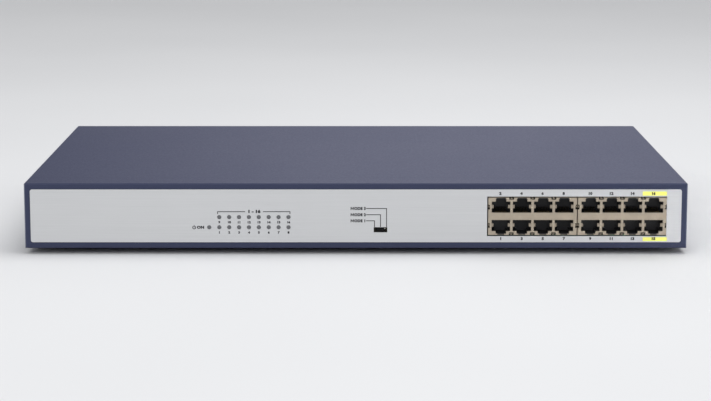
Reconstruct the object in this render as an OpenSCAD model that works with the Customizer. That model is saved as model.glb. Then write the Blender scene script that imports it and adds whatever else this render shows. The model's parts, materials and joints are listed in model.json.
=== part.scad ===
// Sixteen-port network switch in a one-unit sheet steel box.
// Origin on the resting plane in the middle of the outer box: +X right, +Y to the back, +Z up.

/* [Chassis] */
// Outer width of the steel box
body_w = 440; // [425:1:460]
// Depth from the front wall's face to the rear wall's face
body_d = 285; // [260:1:330]
// Height of the steel box without its feet
body_h = 43.7; // [43:0.1:60]
// Thickness of the chassis sheet
sheet_t = 0.8; // [0.7:0.1:1.2]
// Inside radius of the sheet bends
inner_r = 0.2; // [0.2:0.1:1.2]
// Depth of the front frame that the cover butts against
frame_d = 23; // [12:1:28]
// Gap between sheets that slide past each other
sheet_gap = 0.2; // [0.1:0.05:0.4]
// Height of the tray's side flanges
flange_h = 12; // [11:0.5:14]
// Length of the cover's hook under the front frame
hook_d = 10; // [6:1:11]
// Depth of the rear wall's top return
return_d = 10; // [6:1:14]

/* [Vents and side holes] */
// Number of vent slots in each side
vent_count = 14; // [4:1:16]
// Width of one vent slot
vent_w = 3; // [2:0.5:4]
// Height of one vent slot
vent_h = 20; // [10:1:24]
// Spacing of the vent slots
vent_pitch = 8; // [6:0.5:9]
// Distance from the front wall to the first vent slot
vent_y = 95; // [85:1:100]
// Core radius of the tapped rack ear holes
ear_hole_r = 1.65; // [1.25:0.05:2.1]
// Distance between ear holes along the depth
ear_span_y = 30; // [20:1:36]
// Distance between ear holes along the height
ear_span_z = 18; // [14:0.5:20]
// Distance from the front wall to the middle of the ear holes
ear_y = 50; // [46:1:55]
// Length of the drawn collar behind an ear hole
ear_collar = 1.5; // [1:0.1:2]

/* [Feet and fasteners] */
// Height of the rubber feet
foot_h = 4; // [2:0.1:8]
// Radius of a rubber foot at its top
foot_r = 6; // [5:0.5:9]
// Distance of the feet from the front and rear walls
foot_inset_y = 35; // [25:1:45]
// Distance of the feet from the sides
foot_inset_x = 25; // [18:1:40]
// Shank radius of the chassis and board screws
screw_r = 1.5; // [1.25:0.05:1.75]
// Radial play of a screw in its hole
screw_play = 0.05; // [0.03:0.01:0.1]

/* [Front plate] */
// Thickness of the silver front plate
plate_t = 0.8; // [0.5:0.1:1.2]
// Blue border left at each side of the plate
plate_edge_x = 4.1; // [3:0.1:5]
// Blue border left below the plate
plate_edge_low = 4.2; // [3.5:0.1:5]
// Blue border left above the plate
plate_edge_high = 4; // [3.5:0.1:5]
// Corner radius of the plate
plate_r = 1.4; // [1:0.1:3]

/* [Jacks] */
// Width of one jack block over its shield
jack_w = 58.8; // [54:0.1:62]
// Width left at each end of a block outside its four port spacings
jack_side = 1.46; // [1.3:0.02:1.8]
// Height of one jack block
jack_h = 25.1; // [24.9:0.1:26]
// Depth of one jack block
jack_d = 30; // [24:0.5:36]
// Gap between the two jack blocks
jack_gap = 0.65; // [0.6:0.05:1]
// Distance from the right side of the box to the right block
jack_edge = 13.9; // [12:0.1:16]
// Height of the jack blocks' underside above the bottom of the box
jack_z = 9.1; // [8.5:0.1:10]
// Thickness of the shield sheet
shield_t = 0.3; // [0.2:0.05:0.4]
// Play between a shield and its housing
shield_play = 0.05; // [0.02:0.01:0.1]
// How far the shields sit behind the plate's face
jack_recess = 0.2; // [0:0.05:0.5]
// Wall left between neighbouring ports
port_rib = 1.67; // [1.5:0.01:2]
// Height of a port's mouth below the latch notch
port_h = 7.5; // [6.9:0.05:7.6]
// Distance of a port's mouth from the block's middle plane
port_off = 2.45; // [2.3:0.05:2.6]
// Width of the wide step of the latch notch
notch_w = 7; // [6.7:0.1:7.2]
// Height of the wide step of the latch notch
notch_h = 1.75; // [1.5:0.05:2]
// Width of the slit that opens an upper port's notch to the shield's edge
slit_up_w = 6.2; // [5.4:0.1:6.6]
// Width of the slit that opens a lower port's notch to the shield's edge
slit_w = 4.6; // [3.6:0.1:5]
// How far the slits run back along the shield
slit_run = 1.2; // [0.8:0.1:2]
// Depth of a port's cavity
port_d = 13.5; // [12.5:0.1:15]
// Spacing of the spring contacts
contact_pitch = 1.02; // [0.98:0.01:1.1]
// Width of a spring contact
contact_w = 0.45; // [0.35:0.01:0.5]
// Thickness of a spring contact
contact_t = 0.3; // [0.25:0.01:0.4]
// How high a spring contact rises into the port
contact_rise = 2.2; // [1.8:0.1:2.3]
// Width of a shield spring finger
finger_w = 1.3; // [1.1:0.1:1.8]
// How far a shield spring finger bulges out
finger_bulge = 0.28; // [0.15:0.01:0.29]
// Gap between the jack blocks and the left, upper and lower edges of their window
window_gap = 0.75; // [0.5:0.05:1]
// Gap between the jack blocks and the right edge of their window in the plate
window_gap_right = 0.1; // [0.05:0.05:1]

/* [Mode switch] */
// Offset of the slide switch from the middle of the box
mode_x = 16.4; // [5:0.1:30]
// Height of the slide switch's axis above the bottom of the box
mode_z = 12.6; // [12.4:0.05:13]
// Width of the slot in the front plate
slot_w = 9; // [8.9:0.05:9.5]
// Height of the slot in the front plate
slot_h = 3.5; // [3.3:0.05:3.8]
// Width of the sliding knob
knob_w = 4.8; // [4:0.05:4.8]
// Height of the sliding knob
knob_h = 3.2; // [2.8:0.05:3.2]
// How far the knob's tip stays behind the plate's face
knob_recess = 0.3; // [0.2:0.05:0.8]
// Travel of the knob to each side of its middle place
mode_travel = 2; // [1.6:0.05:2]
// Play around the switch's sliding piece
slide_play = 0.12; // [0.1:0.01:0.2]
// Width of the switch's steel frame
mode_w = 13; // [12.5:0.1:15]
// Depth of the switch's body
mode_d = 6.5; // [6:0.1:8]

/* [Indicators] */
// Diameter of an indicator lens
led_d = 2.6; // [2.2:0.05:3]
// Radial gap between a lens and its hole
led_gap = 0.1; // [0.05:0.01:0.2]
// Number of indicator columns
led_columns = 8; // [4:1:8]
// Spacing of the indicator columns
led_pitch = 6.56; // [6.3:0.01:7]
// Distance from the left side of the box to the first column
led_edge = 129.4; // [126:0.1:140]
// Distance from the power indicator to the first column
led_power_step = 6.7; // [6.4:0.1:9]
// Height of the lower row above the bottom of the box
led_low_z = 14.3; // [13.5:0.1:15.5]
// Height of the upper row above the lower row
led_row_step = 6.85; // [6.4:0.05:8]
// How far a lens stands out of the plate
led_proud = 0.3; // [0.1:0.05:0.6]

/* [Boards] */
// Thickness of the circuit boards
pcb_t = 1.6; // [1.2:0.1:2]
// Depth of the main board
main_d = 160; // [140:1:180]
// Width of the supply board
psu_w = 84; // [80:1:90]
// Depth of the supply board
psu_d = 100; // [96:1:104]
// Distance from the boards to the chassis walls beside them
board_gap = 5; // [4:0.5:8]
// Outside radius of the board standoffs
standoff_r = 3; // [2.5:0.1:3.5]

/* [Mains inlet] */
// Distance from the left side of the box to the inlet's middle
inlet_edge = 48; // [44:1:60]
// Height of the inlet's middle above the bottom of the box
inlet_z = 22; // [20:0.5:23]
// Width of the inlet's flange
inlet_flange_w = 50; // [49:0.5:54]
// Height of the inlet's flange
inlet_flange_h = 24; // [23.5:0.5:26]
// Thickness of the inlet's flange
inlet_flange_t = 3; // [2.5:0.1:4]
// Distance between the inlet's two screws
inlet_screw_span = 40; // [39:0.5:42]
// Width of the inlet's socket
inlet_w = 24.6; // [24:0.1:25]
// Height of the inlet's socket
inlet_h = 16.6; // [16:0.1:17]
// Depth of the inlet's socket
inlet_d = 18; // [17:0.5:20]
// Wall around the inlet's socket
inlet_wall = 1.4; // [1:0.1:1.8]
// Distance between the two line blades
blade_span = 14; // [13.5:0.1:14.2]
// Radius of the earth screw's shank
earth_r = 2; // [1.5:0.1:2.5]
// Radius of the wires' insulation
wire_r = 1.2; // [0.9:0.05:1.4]

/* [Hidden] */
$fn = 48;

// Planes of the box
front_reach = plate_t + led_proud;
rear_reach = inlet_flange_t;
front_y = front_reach - (front_reach + body_d + rear_reach) / 2;
rear_y = front_y + body_d;
bottom_z = foot_h;
floor_z = bottom_z + sheet_t;
top_z = bottom_z + body_h;
bend_r = inner_r + sheet_t;
tray_w = body_w - 2 * (sheet_t + sheet_gap);
seam_y = front_y + frame_d;
plate_face_y = front_y - plate_t;
wall_back_y = front_y + sheet_t;
// A cut runs this far past the faces that it opens
past = 1;

// Countersunk screw heads as deep as the sheet that they sit in
sink_r = screw_r + sheet_t;
cover_screw_z = bottom_z + flange_h * 0.6;
cover_screw_inset = 20;
cover_screw_ys = [
    for (i = [0:2]) seam_y + cover_screw_inset + i * (body_d - frame_d - 2 * cover_screw_inset) / 2
];
cover_screw_l = 6;
cross_w = 0.5;
hook_inset = 12;
vent_lift = 3;

// Front plate and its cut-outs
plate_w = body_w - 2 * plate_edge_x;
plate_h = body_h - plate_edge_low - plate_edge_high;
plate_mid_z = bottom_z + plate_edge_low + plate_h / 2;

// Jacks
jack_front_y = plate_face_y + jack_recess;
jack_low_z = bottom_z + jack_z;
jack_mid_z = jack_low_z + jack_h / 2;
jack_right_x = body_w / 2 - jack_edge - jack_w / 2;
jack_left_x = jack_right_x - jack_w - jack_gap;
port_pitch = (jack_w - 2 * jack_side) / 4;
port_w = port_pitch - port_rib;
port_xs = [for (i = [-1.5:1:1.5]) i * port_pitch];
gap_xs = [for (i = [-1:1:1]) i * port_pitch];
housing_w = jack_w - 2 * (shield_t + shield_play);
housing_h = jack_h - shield_t - shield_play;
lip_d = 4.4;
lip_clear = 0.4;
finger_gap = 0.9;
finger_slot = finger_w + 2 * finger_gap;
finger_run = 6.5;
finger_dip = 0.5;
finger_back = 0.5;
end_back = 1.4;
finger_lip = 0.1;
finger_depth = finger_dip + 2 * shield_t + 0.2;
end_depth = 1.05;
leaf_h = 2.25;
leaf_run = 5;
leaf_crest = 1.35;
leaf_front = 1.4;
leaf_rise = 0.9;
leaf_flat = 0.7;
leaf_t = 0.24;
leaf_pocket = 0.6;
leaf_play = 0.2;

// Boards
board_top_z = jack_low_z;
board_low_z = board_top_z - pcb_t;
led_first_x = led_edge - body_w / 2;
led_power_x = led_first_x - led_power_step;
board_reach = 10;
board_front_gap = 4;
hole_inset = 7;
hole_beside_jacks = 14;
hole_behind_leds = 25;
hole_behind_front = 16;
hole_behind_jacks = 38;
inlet_room = 42;
main_x0 = led_power_x - board_reach;
main_x1 = body_w / 2 - sheet_t - sheet_gap - sheet_t - board_gap;
main_y0 = front_y + board_front_gap;
main_y1 = main_y0 + main_d;
main_holes = [
    [main_x0 + hole_inset, main_y0 + hole_behind_leds],
    [main_x0 + hole_inset, main_y1 - hole_inset],
    [jack_left_x - jack_w / 2 - hole_beside_jacks, main_y0 + hole_behind_front],
    [jack_left_x - jack_w / 2 - hole_beside_jacks, main_y1 - hole_inset],
    [main_x1 - hole_inset, main_y0 + jack_d + hole_behind_jacks],
    [main_x1 - hole_inset, main_y1 - hole_inset]
];
psu_x0 = -body_w / 2 + 2 * sheet_t + sheet_gap + board_gap;
psu_x1 = psu_x0 + psu_w;
psu_y1 = rear_y - inlet_room;
psu_y0 = psu_y1 - psu_d;
psu_holes = [
    for (x = [psu_x0 + hole_inset, psu_x1 - hole_inset])
        for (y = [psu_y0 + hole_inset, psu_y1 - hole_inset]) [x, y]
];
board_screw_head_r = screw_r * 1.8;
board_screw_head_h = screw_r * 1.2;
standoff_bore_r = screw_r + screw_play;
board_hole_r = screw_r + 2 * screw_play;

// Indicators
led_xs = [for (i = [0:led_columns - 1]) led_first_x + i * led_pitch];
led_zs = [for (i = [0:1]) bottom_z + led_low_z + i * led_row_step];
led_rim = 0.4;
led_flange_r = led_d / 2 + led_rim;
led_flange_t = 0.8;
led_stub = 2;
led_hold_gap = 2.2;
led_hold_y = wall_back_y + led_hold_gap;
led_hold_d = 6;
led_hold_w = 5.6;
led_hold_rim = 2.8;

// Mode switch
mode_gap = 0.4;
mode_front_y = wall_back_y + mode_gap;
mode_axis_z = bottom_z + mode_z;
mode_h = 2 * (mode_axis_z - board_top_z);
mode_sheet_t = 0.4;
mode_base_t = 1.6;
stem_w = 2.6;
stem_h = 2;
carriage_w = 6.6;
carriage_t = 1.6;
carriage_y = mode_front_y + mode_sheet_t + slide_play;
mode_base_y = mode_front_y + mode_d - mode_base_t;
wiper_t = 0.3;
groove_w = 0.4;
groove_pitch = knob_w / 4;

// Inlet and earth point
inlet_x = inlet_edge - body_w / 2;
inlet_mid_z = bottom_z + inlet_z;
inlet_face_y = rear_y + inlet_flange_t;
inlet_back_t = 2;
inlet_corner = 5;
blade_play = 0.02;
inlet_back_y = inlet_face_y - inlet_d - inlet_back_t;
inlet_chamfer = 4.5;
blade_w = 2;
blade_h = 4;
blade_tip = 4.6;
blade_tail = 7;
blade_off = 2;
earth_gap = 16;
earth_x = inlet_x + inlet_flange_w / 2 + earth_gap;
earth_z = inlet_mid_z + blade_off;
earth_head_r = earth_r * 1.9;
earth_head_h = earth_r * 1.1;
earth_l = 9;
lug_t = 0.8;
lug_r = earth_r * 2;
nut_t = earth_r * 1.6;
lug_barrel_l = 6;
lug_barrel_z = earth_z + lug_r + wire_r;

// Parts on the boards
chip_w = 20;
chip_h = 1.6;
chip_shift = 20;
chip_back = 88;
chip_x = (jack_left_x + jack_right_x) / 2 - chip_shift;
chip_y = main_y0 + chip_back;
lead_l = 1.2;
lead_w = 0.4;
lead_t = 0.3;
lead_margin = 1.5;
sink_w = 36;
sink_h = 14;
sink_base = 3;
sink_fins = 8;
fin_t = 1.2;
magnetics_l = 24;
magnetics_d = 14;
magnetics_h = 6.5;
magnetics_back = 20;
magnetics_y = main_y0 + jack_d + magnetics_back;
dc_header_in = 12;
dc_header_back = 28;
dc_header_x = main_x0 + dc_header_in;
dc_header_y = main_y1 - dc_header_back;
header_w = 10;
header_d = 8;
header_h = 9;
header_key = 1.5;
psu_dc_in = 14;
psu_dc_back = 22;
psu_dc_x = psu_x1 - psu_dc_in;
psu_dc_y = psu_y0 + psu_dc_back;
ac_header_in = 26;
ac_header_back = 12;
ac_header_x = psu_x0 + ac_header_in;
ac_header_y = psu_y1 - ac_header_back;
wire_gap = 4;
crystal_w = 11;
crystal_d = 4.6;
crystal_h = 3.5;
crystal_gap = 14;
cap_r = 4;
cap_h = 11.5;
cap_pitch = 14;
cap_in = 40;
cap_back = 20;
can_step = 0.6;
coil_w = 12;
coil_r = 4;
coil_t = 2;
coil_h = 8;
coil_in = 60;
coil_back = 45;
coil_corner = 2;
reg_w = 10;
reg_d = 9;
reg_h = 4.5;
reg_in = 90;
reg_tab_w = 8;
reg_tab_d = 6;
reg_tab_t = 1.3;
trafo_in = 48;
trafo_back = 58;
trafo_x = psu_x0 + trafo_in;
trafo_y = psu_y0 + trafo_back;
trafo_lift = 4;
bulk_r = 9;
bulk_h = 26;
bulk_in = 20;
bulk_back = 54;

// Shapes that several pieces share

// A rectangle about the origin with a true arc at each corner that is switched on,
// counted anticlockwise from the lower left
module soft_rect(w, h, r, on = [1, 1, 1, 1]) {
    square([w - 2 * r, h], center = true);
    square([w, h - 2 * r], center = true);
    for (i = [0:3]) {
        sx = (i == 0 || i == 3) ? -1 : 1;
        sy = (i < 2) ? -1 : 1;
        translate([sx * (w / 2 - r), sy * (h / 2 - r)])
            if (on[i]) circle(r);
            else translate([sx * r / 2, sy * r / 2]) square(r, center = true);
    }
}

// Turns a drawing seen from the front into a slab that runs from y0 to y0 + d
module from_front(y0, d) {
    translate([0, y0 + d, 0]) rotate([90, 0, 0]) linear_extrude(d) children();
}

// Turns a drawing of Y and Z into a slab that runs from x0 to x0 + w
module from_side(x0, w) {
    translate([x0, 0, 0]) rotate([90, 0, 90]) linear_extrude(w) children();
}

module block(x0, x1, y0, y1, z0, z1) {
    translate([x0, y0, z0]) cube([x1 - x0, y1 - y0, z1 - z0]);
}

// A block that stands on the boards, placed by its middle
module on_board(x, y, w, d, h) {
    block(x - w / 2, x + w / 2, y - d / 2, y + d / 2, board_top_z, board_top_z + h);
}

// A round bar along Y from y0 to y1
module bar_y(x, y0, y1, z, r) {
    translate([x, y0, z]) rotate([-90, 0, 0]) cylinder(r = r, h = y1 - y0);
}

// A pan with rounded front and top edges, its front face at y = 0 and its underside at z = 0
module pan(w, d, h, r) {
    intersection() {
        from_front(0, d) translate([0, h / 2]) soft_rect(w, h, r, [0, 0, 1, 1]);
        from_side(-w / 2, w) translate([d / 2, h / 2]) soft_rect(d, h, r, [1, 0, 0, 1]);
        translate([0, d / 2, 0]) linear_extrude(h) soft_rect(w, d, r, [1, 1, 0, 0]);
    }
}

// A quarter of a bent sheet about the origin, in the quadrant given by two signs
module bend(sx, sy) {
    intersection() {
        difference() {
            circle(bend_r);
            circle(inner_r);
        }
        translate([sx * bend_r / 2, sy * bend_r / 2]) square(bend_r, center = true);
    }
}

// A machine screw standing on its tip's end, head up
module pan_screw(l) {
    cylinder(r = screw_r, h = l);
    translate([0, 0, l]) rotate_extrude() {
        square([board_screw_head_r, board_screw_head_h * 0.6]);
        square([board_screw_head_r * 0.7, board_screw_head_h]);
    }
}

// A bent wire along a curve of four control points, its rings turned about a fixed direction
function mix4(p, u) =
    pow(1 - u, 3) * p[0] + 3 * u * pow(1 - u, 2) * p[1]
    + 3 * u * u * (1 - u) * p[2] + pow(u, 3) * p[3];
function slope4(p, u) =
    pow(1 - u, 2) * (p[1] - p[0]) + 2 * u * (1 - u) * (p[2] - p[1]) + u * u * (p[3] - p[2]);
function unit(v) = v / norm(v);

module wire(p, r, turn, rings = 13, sides = 8) {
    points = [
        for (i = [0:rings - 1])
            let (u = i / (rings - 1), t = unit(slope4(p, u)), n = unit(cross(turn, t)), b = cross(t, n))
            for (k = [0:sides - 1]) mix4(p, u) + r * (cos(k * 360 / sides) * n + sin(k * 360 / sides) * b)
    ];
    walls = [
        for (i = [0:rings - 2]) for (k = [0:sides - 1])
            let (a = i * sides + k, c = i * sides + (k + 1) % sides)
            each [[a, a + sides, c], [c, a + sides, c + sides]]
    ];
    last = (rings - 1) * sides;
    ends = [
        for (k = [1:sides - 2])
            each [[0, k, k + 1], [last, last + k + 1, last + k]]
    ];
    polyhedron(points, concat(walls, ends));
}

// Steel box

module led_holes(r, y0, d) {
    for (x = led_xs) for (z = led_zs) bar_y(x, y0, y0 + d, z, r);
    bar_y(led_power_x, y0, y0 + d, led_zs[0], r);
}

// The window around both jack blocks
module jack_window(y0, d, gap_right) {
    block(
        jack_left_x - jack_w / 2 - window_gap, jack_right_x + jack_w / 2 + gap_right,
        y0, y0 + d, jack_low_z - window_gap, jack_low_z + jack_h + window_gap
    );
}

module mode_window(y0, d, gap) {
    block(
        mode_x - slot_w / 2 - gap, mode_x + slot_w / 2 + gap,
        y0, y0 + d, mode_axis_z - slot_h / 2 - gap, mode_axis_z + slot_h / 2 + gap
    );
}

module front_frame() {
    difference() {
        translate([0, front_y, bottom_z]) pan(body_w, frame_d, body_h, bend_r);
        translate([0, wall_back_y, floor_z])
            pan(body_w - 2 * sheet_t, frame_d, body_h - 2 * sheet_t, inner_r);
    }
}

// Floor and side flanges of the tray, seen from the front
module tray_channel() {
    half = tray_w / 2;
    translate([0, bottom_z + sheet_t / 2]) square([tray_w - 2 * bend_r, sheet_t], center = true);
    for (s = [-1, 1]) {
        translate([s * (half - bend_r), bottom_z + bend_r]) bend(s, -1);
        translate([s * (half - sheet_t / 2), bottom_z + (bend_r + flange_h) / 2])
            square([sheet_t, flange_h - bend_r], center = true);
    }
}

// Rear wall and its top return, seen from the side
module tray_rear() {
    under_z = top_z - sheet_t;
    translate([rear_y - bend_r, bottom_z + bend_r]) bend(1, -1);
    translate([rear_y - sheet_t, bottom_z + bend_r]) square([sheet_t, under_z - bottom_z - 2 * bend_r]);
    translate([rear_y - bend_r, under_z - bend_r]) bend(1, 1);
    translate([rear_y - return_d, under_z - sheet_t]) square([return_d - bend_r, sheet_t]);
}

module base_tray() {
    relief = 2;
    color("slategray") difference() {
        union() {
            front_frame();
            from_front(seam_y + relief, body_d - frame_d - relief - bend_r - relief) tray_channel();
            block(
                -tray_w / 2 + bend_r, tray_w / 2 - bend_r,
                seam_y - past, rear_y - bend_r, bottom_z, floor_z
            );
            from_side(-tray_w / 2 + bend_r, tray_w - 2 * bend_r) tray_rear();
        }
        jack_window(front_y - past, sheet_t + 2 * past, window_gap);
        mode_window(front_y - past, sheet_t + 2 * past, sheet_gap);
        led_holes(led_d / 2 + 2 * led_gap, front_y - past, sheet_t + 2 * past);
        inlet_opening();
        bar_y(earth_x, rear_y - sheet_t - past, rear_y + past, earth_z, earth_r + screw_play);
        for (s = [-1, 1]) for (y = cover_screw_ys)
            translate([s * tray_w / 2, y, cover_screw_z]) rotate([0, 90, 0])
                cylinder(r = screw_r + screw_play, h = 4 * sheet_t, center = true);
    }
}

module inlet_opening() {
    w = inlet_w + 2 * (inlet_wall + sheet_gap);
    h = inlet_h + 2 * (inlet_wall + sheet_gap);
    block(
        inlet_x - w / 2, inlet_x + w / 2, rear_y - sheet_t - past, rear_y + past,
        inlet_mid_z - h / 2, inlet_mid_z + h / 2
    );
    for (s = [-1, 1])
        bar_y(
            inlet_x + s * inlet_screw_span / 2, rear_y - sheet_t - past, rear_y + past,
            inlet_mid_z, screw_r + screw_play
        );
}

// Places of the rack ear holes on one side, as depth and height
ear_spots = [
    for (i = [-1, 1]) for (k = [-1, 1])
        [front_y + ear_y + i * ear_span_y / 2, bottom_z + (flange_h + body_h) / 2 + k * ear_span_z / 2]
];

module side_rod(s, y, z, r, from, to) {
    translate([s * from, y, z]) rotate([0, s * 90, 0]) cylinder(r = r, h = to - from);
}

module vent_slots() {
    mid_z = bottom_z + body_h / 2 + vent_lift;
    straight = vent_h - vent_w;
    for (i = [0:vent_count - 1])
        translate([front_y + vent_y + i * vent_pitch, mid_z]) {
            square([vent_w, straight], center = true);
            for (k = [-1, 1]) translate([0, k * straight / 2]) circle(vent_w / 2);
        }
}

module top_cover() {
    start = seam_y + sheet_gap;
    half = body_w / 2;
    hook_w = body_w - 2 * (bend_r + hook_inset);
    color("slategray") difference() {
        union() {
            from_front(start, rear_y - start) difference() {
                translate([0, bottom_z + body_h / 2]) soft_rect(body_w, body_h, bend_r, [0, 0, 1, 1]);
                translate([0, bottom_z + (body_h - sheet_t) / 2 - past / 2])
                    soft_rect(body_w - 2 * sheet_t, body_h - sheet_t + past, inner_r, [0, 0, 1, 1]);
            }
            block(
                -hook_w / 2, hook_w / 2, seam_y - hook_d, start + hook_d,
                top_z - 2 * sheet_t, top_z - sheet_t
            );
            block(
                -hook_w / 2, hook_w / 2, start, start + hook_d,
                top_z - 2 * sheet_t, top_z - sheet_t / 2
            );
            for (s = [-1, 1]) for (e = ear_spots)
                side_rod(s, e[0], e[1], ear_hole_r * 2, half - sheet_t - ear_collar, half - sheet_t / 2);
        }
        for (s = [-1, 1]) {
            for (e = ear_spots)
                side_rod(s, e[0], e[1], ear_hole_r, half - sheet_t - ear_collar - past, half + past);
            for (y = cover_screw_ys) translate([s * half, y, cover_screw_z]) rotate([0, -s * 90, 0])
                cylinder(r1 = sink_r + screw_play, r2 = screw_r + screw_play, h = sheet_t);
            from_side(s * half - 2 * sheet_t, 4 * sheet_t) vent_slots();
        }
    }
}

module cover_screws() {
    color("dimgray") for (s = [-1, 1]) for (y = cover_screw_ys)
        translate([s * body_w / 2, y, cover_screw_z]) rotate([0, -s * 90, 0]) difference() {
            union() {
                cylinder(r1 = sink_r, r2 = screw_r, h = sheet_t);
                cylinder(r = screw_r, h = cover_screw_l);
            }
            for (a = [0, 90]) rotate([0, 0, a]) cube([sink_r * 1.1, cross_w, sheet_t], center = true);
        }
}

module rubber_feet() {
    edge = 1;
    taper = 1;
    color("black")
        for (x = [-1, 1] * (body_w / 2 - foot_inset_x))
            for (y = [front_y + foot_inset_y, rear_y - foot_inset_y])
                translate([x, y, 0]) rotate_extrude() {
                    square([foot_r - taper - edge, edge]);
                    translate([foot_r - taper - edge, edge]) circle(edge);
                    polygon([[0, edge], [foot_r - taper, edge], [foot_r, foot_h], [0, foot_h]]);
                }
}

module front_plate() {
    color("silver") difference() {
        from_front(plate_face_y, plate_t) translate([0, plate_mid_z]) soft_rect(plate_w, plate_h, plate_r);
        jack_window(plate_face_y - past, plate_t + 2 * past, window_gap_right);
        mode_window(plate_face_y - past, plate_t + 2 * past, 0);
        led_holes(led_d / 2 + led_gap, plate_face_y - past, plate_t + 2 * past);
    }
}

// Jacks

// One port's mouth with its stepped latch notch, its contact side on y = 0
module port_outline() {
    translate([-port_w / 2, 0]) square([port_w, port_h]);
    translate([-notch_w / 2, 0]) square([notch_w, port_h + notch_h]);
}

// All mouths of one block about its middle: the upper row has its latch side up, the lower row down
module port_mouths() {
    for (x = port_xs) for (s = [0, 1])
        mirror([0, s]) translate([x, port_off]) port_outline();
}

// The slits that open the notches to the upper and lower edges of the shield
module latch_slits() {
    z0 = port_off + port_h;
    for (x = port_xs) {
        translate([x - slit_up_w / 2, z0]) square([slit_up_w, jack_h / 2 + past - z0]);
        translate([x - slit_w / 2, -jack_h / 2 - past]) square([slit_w, jack_h / 2 + past - z0]);
    }
}

// Places what is drawn about the middle of a block's front face
module at_jack(x) {
    translate([x, jack_front_y, jack_mid_z]) children();
}

// A spring finger drawn as depth and height over the sheet's outer face, rooted at the far end
// and ending in a lip that stands up behind the front sheet
module finger_profile(run, back) {
    crest = run * 0.45;
    flat = 0.4;
    knee = crest - 2.5 * flat;
    lip_back = back + shield_t;
    polygon([
        [run, 0], [crest + flat, finger_bulge], [crest - flat, finger_bulge], [knee, -finger_dip],
        [lip_back, -finger_dip], [lip_back, finger_lip - finger_dip],
        [back, finger_lip - finger_dip], [back, -finger_dip - shield_t],
        [knee + shield_t / 2, -finger_dip - shield_t], [crest - flat * 0.75, finger_bulge - shield_t],
        [crest + flat * 0.75, finger_bulge - shield_t], [run, -shield_t]
    ]);
}

// A finger whose outer face is the XY plane, pointing to the front
module finger(run, back) {
    from_side(-finger_w / 2, finger_w) finger_profile(run, back);
}

module finger_window(run, depth) {
    translate([-finger_slot / 2, -past, -depth]) cube([finger_slot, run + past, depth + past]);
}

// Repeats a child at each finger on the block's top, underside or ends
module each_top_finger() {
    for (x = gap_xs) translate([x, 0, jack_h / 2]) children();
}

module each_low_finger() {
    for (x = gap_xs) translate([x, 0, -jack_h / 2]) rotate([0, 180, 0]) children();
}

module each_end_finger() {
    for (s = [-1, 1]) for (z = [-1, 1] * (port_off + port_h / 2))
        translate([s * jack_w / 2, 0, z]) rotate([0, s * 90, 0]) children();
}

// The grounding leaf on a port's side wall, drawn as reach into the port and depth
module leaf_profile() {
    root = -leaf_pocket + leaf_play / 2;
    top = leaf_front + leaf_rise;
    polygon([
        [root, 0], [root + leaf_t, 0], [root + leaf_t, leaf_front], [leaf_crest, top],
        [leaf_crest, top + leaf_flat], [root + leaf_t, leaf_run], [root, leaf_run],
        [leaf_crest - leaf_t, top + leaf_flat], [leaf_crest - leaf_t, top + leaf_t],
        [root, leaf_front + leaf_t]
    ]);
}

// Repeats a child at each port wall, with the child's X axis pointing into the port
module each_leaf() {
    for (x = port_xs) for (z = [-1, 1] * (port_off + port_h / 2)) for (s = [0, 1])
        translate([x, 0, z]) mirror([s, 0, 0]) translate([-port_w / 2, 0, 0]) children();
}

module jack_shield() {
    difference() {
        translate([-jack_w / 2, 0, -jack_h / 2]) cube([jack_w, jack_d, jack_h]);
        translate([-jack_w / 2 + shield_t, shield_t, -jack_h / 2 + shield_t])
            cube([jack_w - 2 * shield_t, jack_d - 2 * shield_t, jack_h - 2 * shield_t]);
        translate([-jack_w / 2 + shield_t, lip_d, -jack_h / 2 - past])
            cube([jack_w - 2 * shield_t, jack_d - lip_d - shield_t, jack_h / 2]);
        from_front(-past, shield_t + 2 * past) port_mouths();
        from_front(-past, slit_run + past) latch_slits();
        each_top_finger() finger_window(finger_run - finger_gap, finger_depth);
        each_end_finger() finger_window(finger_run - finger_gap, end_depth);
        each_low_finger() finger_window(lip_d - finger_gap, finger_depth + lip_clear);
    }
    each_top_finger() finger(finger_run, finger_back);
    each_end_finger() finger(finger_run, end_back);
    each_low_finger() finger(lip_d, finger_back);
    each_leaf() translate([0, 0, -leaf_h / 2]) linear_extrude(leaf_h) leaf_profile();
}

module jack_housing() {
    edge = shield_t + shield_play;
    difference() {
        translate([-housing_w / 2, edge, -jack_h / 2]) cube([housing_w, jack_d - 2 * edge, housing_h]);
        translate([-housing_w / 2 - past, 0, -jack_h / 2 - past])
            cube([housing_w + 2 * past, lip_d + 0.5, edge + past]);
        from_front(0, port_d) port_mouths();
        each_top_finger() finger_window(finger_run, finger_depth);
        each_end_finger() finger_window(finger_run, finger_depth);
        each_low_finger() finger_window(lip_d, finger_depth + lip_clear);
        each_leaf() translate([-leaf_pocket, 0, -leaf_h / 2 - leaf_play])
            cube([leaf_pocket + past, leaf_run + 2 * leaf_play, leaf_h + 2 * leaf_play]);
    }
}

// A spring contact drawn as depth and height over the port's contact wall
module contact_profile() {
    root = 2.2;
    knee = 5;
    tip = port_d - 2.3;
    polygon([
        [root, 0], [knee, 0], [tip + 0.1, contact_rise - contact_t], [tip, contact_rise],
        [knee - 0.1, contact_t], [root, contact_t]
    ]);
}

module jack_contacts() {
    for (x = port_xs) for (i = [-3.5:1:3.5]) for (s = [0, 1])
        mirror([0, 0, s]) translate([0, 0, port_off])
            from_side(x + i * contact_pitch - contact_w / 2, contact_w) contact_profile();
}

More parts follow.
